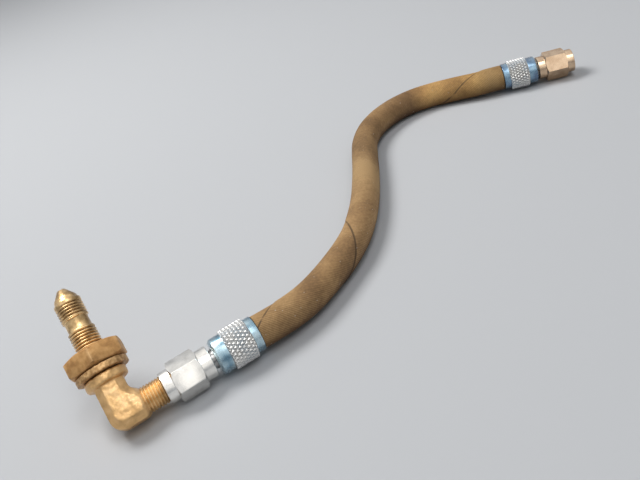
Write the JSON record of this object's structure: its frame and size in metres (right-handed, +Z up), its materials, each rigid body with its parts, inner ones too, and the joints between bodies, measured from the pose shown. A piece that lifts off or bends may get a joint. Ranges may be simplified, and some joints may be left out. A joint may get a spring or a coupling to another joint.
{
  "type": "primer hose",
  "caption": "Cloth-covered rubber fluid hose lying in an S, a knurled socket and swivel nut at each end, and a bulkhead elbow with washer and locknut on one end.",
  "frame": {"origin": "on the surface that the hose lies on, under the middle of the box round the metal fittings", "axes": "+X runs out of the far fitting along its swivel axis, +Z is up"},
  "size_m": [0.2194, 0.193, 0.0408],
  "materials": {
    "hose_cloth": "dusty brown woven cloth cover over rubber",
    "blue_anodised": "blue anodised, the knurl worn to bare metal",
    "blue_anodised_far": "blue anodised, lightly worn",
    "nipple_steel": "turned, bright",
    "clear_aluminium": "turned, clear anodised",
    "plated_steel": "plated, warm and dull",
    "forged_brass": "forged skin with turned threads, tarnished",
    "washer_brass": "rough rim",
    "nut_brass": "dull brown tarnish"
  },
  "bodies": {
    "hose_assembly": {"hose": "hose_cloth", "near_socket": "blue_anodised", "far_socket": "blue_anodised_far", "near_nipple": "nipple_steel", "far_nipple": "nipple_steel", "near_swivel_nut": "clear_aluminium", "elbow_body": "forged_brass", "bulkhead_washer": "washer_brass", "bulkhead_locknut": "nut_brass"},
    "far_swivel_nut": {"far_swivel_nut": "plated_steel"}
  },
  "joints": [
    {"name": "far_nut_swivel", "type": "hinge", "parent": "hose_assembly", "child": "far_swivel_nut", "pos_m": [0.10113, 0.08838, 0.00735], "axis": [1, 0, 0], "continuous": true}
  ]
}
